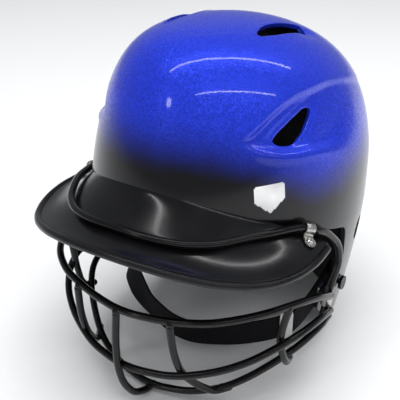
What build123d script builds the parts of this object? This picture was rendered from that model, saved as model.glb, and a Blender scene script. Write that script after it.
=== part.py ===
"""Batting helmet with a wire face guard and a chin strap.

Frame: millimetres, +Z up, the face opening looks along -Y and the wearer's left is +X.
The helmet stands on the nape rim of its shell and on the foot of the guard's centre upright.
The origin is on that floor, under the middle of the helmet.
"""
from math import atan2, cos, degrees, radians, sin, sqrt, tan
import os

from build123d import *

os.makedirs("parts", exist_ok=True)

# ---- driving dimensions -------------------------------------------------------------------
crown_height = 257.4        # top of the dome above the floor
dome_centre_y = 21.0        # the shell's widest section lies behind the middle of the helmet
dome_length_radius = 125.0  # half the shell's length
dome_width_ratio = 0.79     # the shell's width over its length
dome_base_z = 120.0         # the dome springs from here
dome_fullness = 2.45        # superellipse power: 2 is an ellipse, more is squarer shoulders
back_bulge = 7.0            # the shoulders of the dome lie this far behind its centre
crown_lean = 34.0           # the crown lies this far in front of it
nape_radius = 104.0         # half the shell's length at the floor
shell_wall = 3.2
rim_overlap = 20.0          # how far cutting bodies run past the shell

brow_edge_z = 138.0         # lower edge of the shell under the visor
temple_corner = (2.0, 124.0)      # (y, z) where the brow edge turns down into the ear flap
flap_waist = (20.0, 84.0)         # rearmost point of the flap's front edge
jaw_corner_top = (-6.0, 64.0)     # the flap's forward tip
jaw_corner_bottom = (-6.0, 50.0)
heel_y = 56.0               # the flap's lower edge meets the floor here

visor_axis_y = -25.0        # the visor's sections fan out round this vertical axis
visor_root_front_z = 174.0
visor_root_side_z = 128.0
visor_edge_front_z = 147.0
visor_edge_side_z = 126.5
visor_half_width = 106.0
visor_tip_y = -146.0
visor_plan_centre_y = -52.0
visor_sag = 9.0             # how far its upper face dips below a straight slope
visor_wall = 3.0
visor_end_angle = 86.0
trim_bead_radius = 2.6

wire_radius = 2.6           # steel wire with its vinyl coat
brim_clearance = 1.8        # between the frame wire and the visor's upper face

pad_thickness = 11.0
pad_gap = 0.4               # between the shell's inner face and the pads
ear_hole_centre = (50.0, 96.0)    # (y, z)
ear_hole_radius = 10.0
ear_pad_hole_radius = 15.0

strap_height = 20.0         # webbing that stands on edge
strap_thickness = 1.6
strap_side_x = 81.0         # the strap's straight ends lie in these upright planes
strap_front_y = -56.0       # its lowest point, under the chin
strap_front_z = 26.0
strap_bend_radius = 15.0
strap_end_overlap = 8.0     # strap beyond the snap
slider_length = 10.0
slider_gap = 0.4            # between the slider and the strap
slider_wall = 1.2
snap_y = 28.0
snap_z = 57.0
snap_post_radius = 3.0
snap_post_tip_x = 83.2
snap_cap_radius = 5.5
snap_button_radius = 6.0
running_gap = 0.35
stud_seat_gap = 1.1         # the flap slopes behind the stud's flat faces

screw_shank_radius = 2.0
screw_hole_radius = 2.3
screw_head_radius = 3.9
screw_head_height = 2.2
nut_radius = 5.0
nut_thickness = 2.0
clip_width = 7.0
clip_sheet = 1.2
clip_gap = 0.3              # round the wire
clip_seat_gap = 0.9         # under the foot
clip_reach = 9.2            # from the wire's axis to the screw

far = 200.0                 # reach of cutting bodies


# ---- the dome as a formula ----------------------------------------------------------------
def dome_section(z, inset=0.0):
    """(half width, half length, centre y) of the dome's horizontal section at height z."""
    rise = (z - dome_base_z) / (crown_height - inset - dome_base_z)
    rise = min(max(rise, 0.0), 1.0)
    drop = max(dome_base_z - z, 0.0) / dome_base_z
    half_length = dome_length_radius - (dome_length_radius - nape_radius) * drop ** 1.5
    shrink = (1 - rise ** dome_fullness) ** (1 / dome_fullness)
    shift = back_bulge * 6.75 * rise ** 2 * (1 - rise) - crown_lean * rise ** 3
    half_width = dome_width_ratio * half_length - inset
    return half_width * shrink, (half_length - inset) * shrink, dome_centre_y + shift


def ellipse_reach(angle, half_width, half_length, centre_y):
    """Distance from the visor's axis to an ellipse, along a plan direction from the front."""
    side, front = sin(radians(angle)), cos(radians(angle))
    offset = centre_y - visor_axis_y
    a = (side / half_width) ** 2 + (front / half_length) ** 2
    b = 2 * offset * front / half_length ** 2
    c = (offset / half_length) ** 2 - 1
    return (-b + sqrt(b * b - 4 * a * c)) / (2 * a)


def dome_reach(angle, z):
    return ellipse_reach(angle, *dome_section(z))


def dome_x(y, z, inset=0.0):
    """Half the dome's width at a place seen from the side."""
    half_width, half_length, centre_y = dome_section(z, inset)
    return half_width * sqrt(max(1 - ((y - centre_y) / half_length) ** 2, 0.0))


def dome_normal(y, z):
    """Outward direction of the dome's left side at a place seen from the side."""
    along = Vector(dome_x(y + 1, z) - dome_x(y - 1, z), 2, 0)
    up = Vector(dome_x(y, z + 1) - dome_x(y, z - 1), 0, 2)
    return along.cross(up).normalized()


def dome_solid(inset):
    """The solid inside the shell's surface, moved in by inset."""
    top = crown_height - inset - dome_base_z
    arch = [dome_base_z + top * sin(radians(turn)) ** (2 / dome_fullness)
            for turn in (12, 25, 38, 50, 61, 71, 79, 85)]
    with BuildPart() as body:
        for z in [-rim_overlap, 20.0, 55.0, 90.0, dome_base_z] + arch:
            half_width, half_length, centre_y = dome_section(z, inset)
            with BuildSketch(Plane.XY.offset(z)):
                with Locations((0, centre_y)):
                    Ellipse(half_width, half_length)
        loft()
    return body.part


# ---- the lower outline of the shell, in side view -----------------------------------------
def opening_outline(step):
    """Side view of what is cut away; step widens the cut."""
    temple_y, temple_z = temple_corner
    waist_y, waist_z = flap_waist
    with BuildLine() as edge:
        FilletPolyline(
            (-far, brow_edge_z + step),
            (-62.0, brow_edge_z + step),
            (temple_y - 24.0 + step, temple_z + 4.0 + step),
            (temple_y + 10.0 + step, temple_z - 8.0 + step),
            (waist_y + step, waist_z),
            (jaw_corner_top[0] + step, jaw_corner_top[1] - step),
            (jaw_corner_bottom[0] + step, jaw_corner_bottom[1] + step),
            (heel_y, step),
            (heel_y + rim_overlap, step if step > 0 else -rim_overlap),
            radius=5.0,
        )
    return edge.line


def cut_side_view(step):
    edge = opening_outline(step)
    start, finish = edge @ 0, edge @ 1
    with BuildPart() as cutter:
        with BuildSketch(Plane.YZ.offset(-far)):
            with BuildLine():
                add(edge)
                Polyline(finish, (finish.X, -far), (-far, -far), start)
            make_face()
        extrude(amount=2 * far)
    return cutter.part


def mirrored(points):
    """The same outline on the helmet's other side."""
    return [(-x, y, z) for x, y, z in points]


def both_sides(half):
    """A route across the whole helmet, from half of it that starts at the centre plane."""
    return mirrored(half[:0:-1]) + half


def keep(part, name):
    part.label = name
    export_step(part, f"parts/{name}.step")


def keep_pair(left, name):
    """Keep a left part and its mirror image."""
    with BuildPart() as right:
        add(mirror(left, about=Plane.YZ))
    keep(left, f"{name}_left")
    keep(right.part, f"{name}_right")


# ---- the visor as a formula ---------------------------------------------------------------
def visor_point(angle, reach, z):
    """A point of the visor, by plan direction from the front and distance from its axis."""
    return (reach * sin(radians(angle)), visor_axis_y - reach * cos(radians(angle)), z)


def visor_stations(angle):
    """(reach, z) of the visor's upper face at its root, middle and edge."""
    front = cos(radians(min(abs(angle), 90.0)))
    droop = sin(radians(min(abs(angle) * 90.0 / 62.0, 90.0))) ** 2
    root_z = visor_root_side_z + (visor_root_front_z - visor_root_side_z) * front
    edge_z = visor_edge_front_z - (visor_edge_front_z - visor_edge_side_z) * droop
    root = dome_reach(angle, root_z) + 0.4
    edge = ellipse_reach(angle, visor_half_width, visor_plan_centre_y - visor_tip_y,
                         visor_plan_centre_y)
    middle_z = (root_z + edge_z) / 2 - visor_sag * front
    return (root, root_z), ((root + edge) / 2, middle_z), (edge, edge_z)


def visor_face(angle, reach):
    """A point of the visor's upper face, on the parabola through its three stations."""
    (r0, z0), (_, z1), (r2, z2) = visor_stations(angle)
    u = (reach - r0) / (r2 - r0)
    z = z0 * (1 - u) * (1 - 2 * u) + 4 * z1 * u * (1 - u) + z2 * u * (2 * u - 1)
    return Vector(*visor_point(angle, reach, z))


def visor_normal(angle, reach):
    """Upward direction square to the visor's upper face."""
    outward = visor_face(angle, reach + 1) - visor_face(angle, reach - 1)
    around = visor_face(angle + 1, reach) - visor_face(angle - 1, reach)
    return outward.cross(around).normalized()


# ---- P-clips: where they hold the guard ---------------------------------------------------
clip_radius = wire_radius + clip_gap + clip_sheet
seat_height = clip_seat_gap + clip_radius   # of the wire's axis above the clip's seat

upper_screw_angle, upper_screw_reach = 77.7, 97.6
upper_clip_out = visor_normal(upper_screw_angle, upper_screw_reach)
upper_wire_run = Vector(0.56, 0.74, -0.37)
upper_clip_foot = upper_wire_run.cross(upper_clip_out).normalized()
upper_screw_seat = visor_face(upper_screw_angle, upper_screw_reach)
upper_wire_point = (upper_screw_seat - upper_clip_foot * clip_reach
                    + upper_clip_out * seat_height)

lower_screw_y, lower_screw_z = 4.0, 62.0
lower_clip_out = dome_normal(lower_screw_y, lower_screw_z)
lower_clip_foot = Vector(0, 0, 1).cross(lower_clip_out).normalized()
lower_wire_run = lower_clip_out.cross(lower_clip_foot)
lower_screw_seat = Vector(dome_x(lower_screw_y, lower_screw_z), lower_screw_y, lower_screw_z)
lower_wire_point = (lower_screw_seat - lower_clip_foot * clip_reach
                    + lower_clip_out * seat_height)


def hole_cutters(radius):
    """Rods along the axes of the left side's two clip screws and their mirror images."""
    with BuildPart() as rods:
        for seat, out in ((upper_screw_seat, upper_clip_out), (lower_screw_seat, lower_clip_out)):
            with BuildSketch(Plane(origin=seat, z_dir=out)):
                Circle(radius)
            extrude(amount=12.0, both=True)
        mirror(about=Plane.YZ)
    return rods.part


screw_holes = hole_cutters(screw_hole_radius)

# ---- shell --------------------------------------------------------------------------------
top_vent_front = (36.0, -17.0)
top_vent_inner = (30.0, 10.0)
top_vent_rear = (41.0, 51.0)
top_vent_outer = (46.0, 24.0)
side_vent_front = (-51.0, 197.0)
side_vent_rear = (-7.0, 214.0)
side_vent_low = (-32.0, 191.0)

with BuildPart() as shell:
    add(dome_solid(0.0))
    add(dome_solid(shell_wall), mode=Mode.SUBTRACT)
    add(cut_side_view(0.0), mode=Mode.SUBTRACT)
    with Locations((0, 0, -far)):
        Box(2 * far, 2 * far, 2 * far, mode=Mode.SUBTRACT)
    with BuildSketch(Plane.XY.offset(dome_base_z + 80.0)):
        with BuildLine():
            ThreePointArc(top_vent_front, top_vent_inner, top_vent_rear)
            ThreePointArc(top_vent_rear, top_vent_outer, top_vent_front)
        make_face()
        fillet(vertices(), radius=2.5)
        mirror(about=Plane.YZ)
    extrude(amount=far, mode=Mode.SUBTRACT)
    with BuildSketch(Plane.YZ):
        with BuildLine():
            Polyline(side_vent_front, side_vent_rear, side_vent_low, close=True)
        make_face()
        fillet(vertices(), radius=3.0)
    extrude(amount=far, both=True, mode=Mode.SUBTRACT)
    with BuildSketch(Plane.YZ):
        with Locations(ear_hole_centre):
            Circle(ear_hole_radius)
        with Locations((snap_y, snap_z)):
            Circle(screw_hole_radius)
    extrude(amount=far, both=True, mode=Mode.SUBTRACT)
    add(screw_holes, mode=Mode.SUBTRACT)
keep(shell.part, "shell")


# ---- visor --------------------------------------------------------------------------------
def visor_section(angle):
    """The visor's closed outline in one upright plane through its axis."""
    root, middle, edge = visor_stations(angle)
    lower = [(r - 0.5 * visor_wall * (1 - n / 2), z - visor_wall * (1.3 - 0.15 * n))
             for n, (r, z) in enumerate((root, middle, edge))]
    lower[0] = (dome_reach(angle, lower[0][1]) + 0.4, lower[0][1])
    out = Vector(sin(radians(angle)), -cos(radians(angle)), 0)
    plane = Plane(origin=(0, visor_axis_y, 0), x_dir=out, z_dir=out.cross(Vector(0, 0, 1)))
    with BuildSketch(plane) as outline:
        with BuildLine():
            top = Spline(root, middle, edge)
            bottom = Spline(*lower)
            Line(top @ 0, bottom @ 0)
            Line(top @ 1, bottom @ 1)
        make_face()
    return outline.sketch


visor_section_count = 13
with BuildPart() as visor:
    for index in range(visor_section_count):
        share = 2 * index / (visor_section_count - 1) - 1
        add(visor_section(share * visor_end_angle))
    loft()
    add(screw_holes, mode=Mode.SUBTRACT)
keep(visor.part, "visor")


# ---- bent wires and beads -----------------------------------------------------------------
def bend_radii(points):
    """As large a bend at each corner of a route as its two runs allow."""
    radii = []
    for before, corner, after in zip(points, points[1:], points[2:]):
        first = Vector(*corner) - Vector(*before)
        second = Vector(*after) - Vector(*corner)
        half_turn = radians(first.get_angle(second)) / 2
        radii.append(0.45 * min(first.length, second.length) / tan(half_turn))
    return radii


def bent_rod(points, radius):
    """A round rod with rounded ends, along straight runs joined by bends."""
    with BuildPart() as rod:
        with BuildLine() as route:
            FilletPolyline(*points, radius=bend_radii(points))
        with BuildSketch(Plane(origin=route.line @ 0, z_dir=route.line % 0)):
            Circle(radius)
        sweep(path=route.line)
        with Locations(points[0], points[-1]):
            Sphere(radius)
    return rod.part


bead_route = []
for angle in (0.0, 12.0, 24.0, 35.0, 45.0, 54.0, 63.0, 73.0, 83.0):
    edge_reach, edge_z = visor_stations(angle)[2]
    bead_route.append(visor_point(angle, edge_reach + 0.2, edge_z - visor_wall / 2))
keep(bent_rod(both_sides(bead_route), trim_bead_radius), "visor_edge_trim")

# ---- face guard ---------------------------------------------------------------------------
brim_lift = Vector(0, 0, wire_radius + brim_clearance)
frame_route = [tuple(visor_face(angle, reach) + brim_lift)
               for angle, reach in ((0, 102), (13, 102.5), (25, 101), (37, 97), (49, 92), (61, 90.5))]
frame_route += [tuple(upper_wire_point + upper_wire_run * step) for step in (-6.0, 6.0)]
frame_route += [(98.0, -22.0, 128.0), (101.0, -5.0, 111.0), (100.5, 1.0, 92.0),
                (98.0, -2.5, 78.0)]
frame_route += [tuple(lower_wire_point + lower_wire_run * step) for step in (8.0, -14.0)]
upper_route = [(0.0, -127.0, 89.0), (32.0, -120.0, 89.0), (58.0, -113.0, 93.0),
               (75.0, -101.0, 95.5), (88.0, -84.0, 95.5), (97.0, -58.0, 91.0),
               (101.0, -34.0, 82.5), (100.6, -8.6, 69.0)]
middle_route = [(0.0, -126.8, 42.0), (35.0, -119.0, 43.0), (61.0, -106.0, 49.5),
                (79.0, -92.0, 56.5), (92.0, -74.0, 63.0), (100.0, -54.0, 65.5),
                (102.0, -30.0, 62.0), (99.8, -6.0, 53.6)]
lower_route = [(0.0, -100.6, 7.0), (32.0, -94.0, 9.8), (54.0, -84.7, 16.5), (70.0, -73.0, 26.0),
               (85.0, -59.0, 38.0), (95.0, -44.0, 46.5), (100.2, -24.0, 51.0),
               (98.9, -6.4, 48.8)]
# the three middle uprights are welded a little to the wearer's right of even places
centre_upright = [(-4.0, -127.2, 85.4), (-4.0, -129.5, 64.0), (-3.5, -129.3, 42.0),
                  (-2.5, -125.5, 25.0), (-1.0, -116.0, 10.0), (0.0, -103.0, 3.4),
                  (0.0, -94.0, 2.8)]
inner_upright_left = [(35.0, -121.0, 86.0), (36.0, -119.0, 64.0), (38.0, -113.3, 44.0),
                      (43.5, -102.0, 28.0), (50.5, -90.0, 16.0), (57.0, -80.0, 15.5)]
inner_upright_right = [(-43.0, -119.5, 87.5), (-44.0, -117.5, 64.0), (-45.0, -111.3, 44.0),
                       (-50.0, -99.5, 28.0), (-57.0, -86.5, 16.0), (-64.0, -75.0, 17.0)]
outer_upright = [(94.0, -68.5, 89.0), (91.0, -69.0, 76.0), (89.2, -69.0, 63.0),
                 (90.5, -64.0, 46.0), (90.5, -58.0, 37.0), (89.0, -50.0, 36.0)]

for route, name in ((frame_route, "guard_frame_wire"), (upper_route, "guard_upper_bar"),
                    (middle_route, "guard_middle_bar"), (lower_route, "guard_lower_bar")):
    keep(bent_rod(both_sides(route), wire_radius), name)
keep(bent_rod(centre_upright, wire_radius), "guard_centre_upright")
keep(bent_rod(inner_upright_left, wire_radius), "guard_inner_upright_left")
keep(bent_rod(inner_upright_right, wire_radius), "guard_inner_upright_right")
keep_pair(bent_rod(outer_upright, wire_radius), "guard_outer_upright")


# ---- guard clips, their screws and nuts ---------------------------------------------------
def wire_clip(wire_point, out, foot):
    """A sheet loop round the wire with a flat rounded foot for one screw."""
    foot_plane = Plane(origin=wire_point - out * clip_radius, x_dir=foot, z_dir=out)
    loop_plane = Plane(origin=wire_point, x_dir=foot, z_dir=out.cross(foot))
    with BuildPart() as clip:
        with BuildSketch(foot_plane):
            with Locations((clip_reach / 2, 0)):
                Rectangle(clip_reach, clip_width)
            with Locations((clip_reach, 0)):
                Circle(clip_width / 2)
        extrude(amount=clip_sheet)
        with BuildSketch(loop_plane):
            Circle(clip_radius)
        extrude(amount=clip_width / 2, both=True)
        with BuildSketch(loop_plane):
            Circle(clip_radius - clip_sheet)
        extrude(amount=clip_width, both=True, mode=Mode.SUBTRACT)
        add(screw_holes, mode=Mode.SUBTRACT)
    return clip.part


keep_pair(wire_clip(upper_wire_point, upper_clip_out, upper_clip_foot), "upper_clip")
keep_pair(wire_clip(lower_wire_point, lower_clip_out, lower_clip_foot), "lower_clip")

clip_seats = ((upper_screw_seat, upper_clip_out), (lower_screw_seat, lower_clip_out))
nut_face = shell_wall + 0.6 + nut_thickness
with BuildPart() as clip_screws:
    for seat, out in clip_seats:
        head_base = seat + out * (clip_seat_gap + clip_sheet + 0.1)
        with BuildSketch(Plane(origin=head_base, z_dir=out)):
            Circle(screw_head_radius)
        extrude(amount=screw_head_height, taper=12)
        with BuildSketch(Plane(origin=head_base, z_dir=-out)):
            Circle(screw_shank_radius)
        extrude(amount=clip_seat_gap + clip_sheet + 0.1 + nut_face + 0.8)
    mirror(about=Plane.YZ)
keep(clip_screws.part, "clip_screws")

with BuildPart() as clip_nuts:
    for seat, out in clip_seats:
        with BuildSketch(Plane(origin=seat - out * nut_face, z_dir=out)):
            RegularPolygon(nut_radius, 6)
            Circle(screw_hole_radius - 0.1, mode=Mode.SUBTRACT)
        extrude(amount=nut_thickness)
    mirror(about=Plane.YZ)
keep(clip_nuts.part, "clip_nuts")


# ---- foam pads ----------------------------------------------------------------------------
def plan_wedge(middle, half_angle, low, high):
    """An upright wedge round the dome's axis; middle is its direction from straight ahead."""
    corners = [(far * sin(radians(middle + side)), dome_centre_y - far * cos(radians(middle + side)))
               for side in (-half_angle, 0, half_angle)]
    with BuildPart() as wedge:
        with BuildSketch(Plane.XY.offset(low)):
            with BuildLine():
                Polyline((0, dome_centre_y), *corners, close=True)
            make_face()
        extrude(amount=high - low)
    return wedge.part


def block(low_corner, high_corner):
    """A box between two opposite corners."""
    size = [high - low for low, high in zip(low_corner, high_corner)]
    with BuildPart() as box:
        with Locations(low_corner):
            Box(*size, align=(Align.MIN, Align.MIN, Align.MIN))
    return box.part


with BuildPart() as pad_band:
    add(dome_solid(shell_wall + pad_gap))
    add(dome_solid(shell_wall + pad_gap + pad_thickness), mode=Mode.SUBTRACT)
    add(cut_side_view(3.0), mode=Mode.SUBTRACT)


def pad(region):
    with BuildPart() as piece:
        add(pad_band.part)
        add(region, mode=Mode.INTERSECT)
    return piece.part


keep(pad(plan_wedge(0, 36, 145, 190)), "front_pad")
keep(pad(plan_wedge(180, 45, 60, 150)), "back_pad")
keep(pad(block((-26, -60, 205), (26, 75, 280))), "crown_pad")
keep_pair(pad(plan_wedge(80, 30, 145, 186)), "side_pad")

with BuildPart() as ear_pad:
    add(pad(block((20, 24, 74), (150, 84, 130))))
    with BuildSketch(Plane.YZ):
        with Locations(ear_hole_centre):
            Circle(ear_pad_hole_radius)
    extrude(amount=far, mode=Mode.SUBTRACT)
keep_pair(ear_pad.part, "ear_pad")

# ---- snap studs through the ear flaps -----------------------------------------------------
snap_wall_x = dome_x(snap_y, snap_z)
snap_plane = Plane(origin=(0, snap_y, snap_z), x_dir=(0, 1, 0), z_dir=(1, 0, 0))


def turned(steps):
    """Round steps along the left snap's axis: (start x, end x, radius)."""
    with BuildPart() as piece:
        for start, finish, radius in steps:
            with BuildSketch(snap_plane.offset(start)):
                Circle(radius)
            extrude(amount=finish - start)
    return piece.part


stud_flange_x = snap_wall_x - shell_wall - stud_seat_gap
keep_pair(turned(((snap_post_tip_x, stud_flange_x, snap_post_radius),
                  (stud_flange_x - 1.2, stud_flange_x, 6.0),
                  (stud_flange_x, snap_wall_x + stud_seat_gap, screw_shank_radius),
                  (snap_wall_x + stud_seat_gap, snap_wall_x + 3.6, 5.5))), "snap_stud")

# ---- chin strap with its snap caps and slider ---------------------------------------------
cap_floor_x = strap_side_x + strap_thickness / 2
cap_mouth_x = stud_flange_x - 1.2 - running_gap
with BuildPart() as snap_cap:
    add(turned(((strap_side_x - strap_thickness / 2 - 1.0, strap_side_x - strap_thickness / 2,
                 snap_button_radius),
                (strap_side_x - strap_thickness / 2, cap_floor_x, 1.5),
                (cap_floor_x, cap_mouth_x, snap_cap_radius))))
    with BuildSketch(snap_plane.offset(snap_post_tip_x - running_gap)):
        Circle(snap_post_radius + running_gap)
    extrude(amount=far, mode=Mode.SUBTRACT)
keep_pair(snap_cap.part, "snap_cap")

strap_half = [(0.0, strap_front_y), (36.0, -45.0), (62.0, -30.0), (strap_side_x, -13.0),
              (strap_side_x, snap_y + strap_end_overlap)]
strap_route = [(-x, y) for x, y in strap_half[:0:-1]] + strap_half
strap_slope = (snap_z - strap_front_z) / (snap_y - strap_front_y)


def strap_slab(height):
    """The layer of the given height along the strap's slope, up to the snaps."""
    ends = [(y, snap_z + strap_slope * (y - snap_y)) for y in (-far, far)]
    with BuildPart() as slab:
        with BuildSketch(Plane.YZ):
            with BuildLine():
                Polyline(*[(y, z + height / 2) for y, z in ends],
                         *[(y, z - height / 2) for y, z in ends[::-1]], close=True)
            make_face()
        extrude(amount=far, both=True)
    return slab.part


with BuildPart() as chin_strap:
    with BuildSketch():
        with BuildLine():
            strap_line = FilletPolyline(*strap_route, radius=strap_bend_radius)
        trace(lines=strap_line, line_width=strap_thickness)
    extrude(amount=far)
    add(strap_slab(strap_height), mode=Mode.INTERSECT)
    fillet(chin_strap.edges().filter_by(Axis.X), radius=strap_height / 4)
    with BuildSketch(snap_plane):
        Circle(1.8)
    extrude(amount=far, both=True, mode=Mode.SUBTRACT)
keep(chin_strap.part, "chin_strap")

slider_run = (strap_half[3][0] - strap_half[2][0], strap_half[3][1] - strap_half[2][1])
slider_middle = (strap_half[2][0] + slider_run[0] / 2, strap_half[2][1] + slider_run[1] / 2, 0)
slider_turn = degrees(atan2(slider_run[1], slider_run[0]))
slider_place = Location(slider_middle, (0, 0, slider_turn))


def round_strap(length, margin):
    """A sleeve's outside or inside: the strap's section at the slider, larger by margin."""
    with BuildPart() as sleeve:
        with BuildSketch():
            with Locations(slider_place):
                Rectangle(length, strap_thickness + 2 * margin)
        extrude(amount=far)
        add(strap_slab(strap_height + 2 * margin), mode=Mode.INTERSECT)
    return sleeve.part


with BuildPart() as strap_slider:
    add(round_strap(slider_length, slider_gap + slider_wall))
    add(round_strap(3 * slider_length, slider_gap), mode=Mode.SUBTRACT)
keep(strap_slider.part, "strap_slider")
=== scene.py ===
"""Batting helmet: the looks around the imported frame.

Shapes are written in millimetres, in the part's own frame (+Z up, the opening looks along -Y,
the wearer's left is +X), and become metres when their meshes are made.
"""
from math import atan2, cos, pi, radians, sin, sqrt

import bpy
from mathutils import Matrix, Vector, noise
from mathutils.bvhtree import BVHTree


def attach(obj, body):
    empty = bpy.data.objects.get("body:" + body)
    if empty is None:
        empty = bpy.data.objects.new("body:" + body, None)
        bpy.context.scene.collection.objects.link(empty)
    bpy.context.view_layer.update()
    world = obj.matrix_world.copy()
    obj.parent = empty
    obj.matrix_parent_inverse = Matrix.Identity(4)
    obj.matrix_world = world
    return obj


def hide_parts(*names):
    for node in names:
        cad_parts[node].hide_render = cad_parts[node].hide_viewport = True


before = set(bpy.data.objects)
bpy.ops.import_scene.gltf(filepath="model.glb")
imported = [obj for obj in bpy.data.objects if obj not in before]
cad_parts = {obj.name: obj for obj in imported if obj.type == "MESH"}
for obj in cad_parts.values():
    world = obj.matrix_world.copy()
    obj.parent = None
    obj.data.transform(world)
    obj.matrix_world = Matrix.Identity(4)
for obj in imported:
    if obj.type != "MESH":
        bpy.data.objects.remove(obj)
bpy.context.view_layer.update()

MM = 0.001
WHITE = (0.89, 0.89, 0.90)
BLACK = (0.006, 0.006, 0.007)
BLUE = (0.012, 0.035, 0.62)


# ---- small helpers ------------------------------------------------------------------------
def ramp(value, low, high):
    """0 below low, 1 above high, smooth between."""
    share = min(max((value - low) / (high - low), 0.0), 1.0)
    return share * share * (3 - 2 * share)


def make(name, points, faces, materials, body="helmet", slot=None, replaces=()):
    """A smooth-shaded mesh piece from points in millimetres."""
    mesh = bpy.data.meshes.new(name)
    mesh.from_pydata([tuple(c * MM for c in p) for p in points], [], faces)
    mesh.validate()
    for look in materials:
        mesh.materials.append(look)
    mesh.polygons.foreach_set("use_smooth", [True] * len(mesh.polygons))
    mesh.update()
    piece = bpy.data.objects.new(name, mesh)
    bpy.context.scene.collection.objects.link(piece)
    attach(piece, body)
    if replaces:
        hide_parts(*replaces)
    return piece


def settle(piece):
    """Turns a piece's modifiers into mesh."""
    bpy.context.view_layer.update()
    shaped = piece.evaluated_get(bpy.context.evaluated_depsgraph_get())
    mesh = bpy.data.meshes.new_from_object(shaped)
    piece.modifiers.clear()
    piece.data = mesh


def bevel(piece, width, angle=50.0, segments=3):
    edge = piece.modifiers.new("edge", "BEVEL")
    edge.width = width * MM
    edge.segments = segments
    edge.limit_method = "ANGLE"
    edge.angle_limit = radians(angle)
    edge.use_clamp_overlap = True


def ring_quads(rings, count, closed=False):
    """Faces between neighbouring rings of count points, and from the last to the first if closed."""
    return [(n * count + k, n * count + (k + 1) % count,
             (n + 1) % rings * count + (k + 1) % count, (n + 1) % rings * count + k)
            for n in range(rings if closed else rings - 1) for k in range(count)]


def tube_faces(rings, count):
    """The same with both ends closed by a flat face."""
    ends = [tuple(range(count))[::-1], tuple((rings - 1) * count + k for k in range(count))]
    return ring_quads(rings, count) + ends


def parabola(share, low, middle, high):
    """The parabola with these values at shares 0, 1/2 and 1."""
    return (low * (1 - share) * (1 - 2 * share) + 4 * middle * share * (1 - share)
            + high * share * (2 * share - 1))


# ---- materials ----------------------------------------------------------------------------
class Look:
    """A material, its shader and short ways to add nodes."""

    def __init__(self, name, colour, roughness, **sockets):
        self.material = bpy.data.materials.new(name)
        self.material.use_nodes = True
        self.nodes = self.material.node_tree.nodes
        self.links = self.material.node_tree.links
        self.shader = self.nodes["Principled BSDF"]
        self.shader.inputs["Base Color"].default_value = (*colour, 1)
        self.shader.inputs["Roughness"].default_value = roughness
        for socket, value in sockets.items():
            self.shader.inputs[socket.replace("_", " ")].default_value = value
        self.place = self.nodes.new("ShaderNodeTexCoord")
        self.material.diffuse_color = (*colour, 1)

    def link(self, source, target):
        self.links.new(source, target)

    def texture(self, kind, scale, coordinates="Object", stretch=None, **sockets):
        """A noise, Voronoi or wave texture in the piece's metres or along its UVs."""
        node = self.nodes.new("ShaderNodeTex" + kind)
        node.inputs["Scale"].default_value = scale
        for socket, value in sockets.items():
            node.inputs[socket].default_value = value
        source = self.place.outputs[coordinates]
        if stretch:
            mapping = self.nodes.new("ShaderNodeMapping")
            mapping.inputs["Scale"].default_value = stretch
            self.link(source, mapping.inputs["Vector"])
            source = mapping.outputs["Vector"]
        self.link(source, node.inputs["Vector"])
        return node

    def scaled(self, source, low, high, new_low, new_high, smooth=False):
        node = self.nodes.new("ShaderNodeMapRange")
        node.interpolation_type = "SMOOTHSTEP" if smooth else "LINEAR"
        for socket, value in zip(("From Min", "From Max", "To Min", "To Max"),
                                 (low, high, new_low, new_high)):
            node.inputs[socket].default_value = value
        self.link(source, node.inputs["Value"])
        return node.outputs["Result"]

    def feed(self, socket, value):
        """Sets a number or colour on a socket, or links another node's output to it."""
        if isinstance(value, bpy.types.NodeSocket):
            self.link(value, socket)
        elif isinstance(value, tuple) and socket.type == "RGBA":
            socket.default_value = (*value, 1)
        else:
            socket.default_value = value

    def arithmetic(self, operation, first, second):
        node = self.nodes.new("ShaderNodeMath")
        node.operation = operation
        self.feed(node.inputs[0], first)
        self.feed(node.inputs[1], second)
        return node.outputs["Value"]

    def vector(self, operation, first, second=None):
        """A vector sum, difference, multiple or unit vector."""
        node = self.nodes.new("ShaderNodeVectorMath")
        node.operation = operation
        self.feed(node.inputs[0], first)
        if second is not None:
            self.feed(node.inputs["Scale" if operation == "SCALE" else 1], second)
        return node.outputs["Vector"]

    def mixed(self, share, first, second):
        """A colour between two, each a colour or another node's output."""
        node = self.nodes.new("ShaderNodeMix")
        node.data_type = "RGBA"
        for socket, value in ((0, share), (6, first), (7, second)):
            self.feed(node.inputs[socket], value)
        return node.outputs[2]

    def bump(self, height, distance, strength=1.0):
        node = self.nodes.new("ShaderNodeBump")
        node.inputs["Distance"].default_value = distance * MM
        node.inputs["Strength"].default_value = strength
        self.link(height, node.inputs["Height"])
        self.link(node.outputs["Normal"], self.shader.inputs["Normal"])


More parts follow.
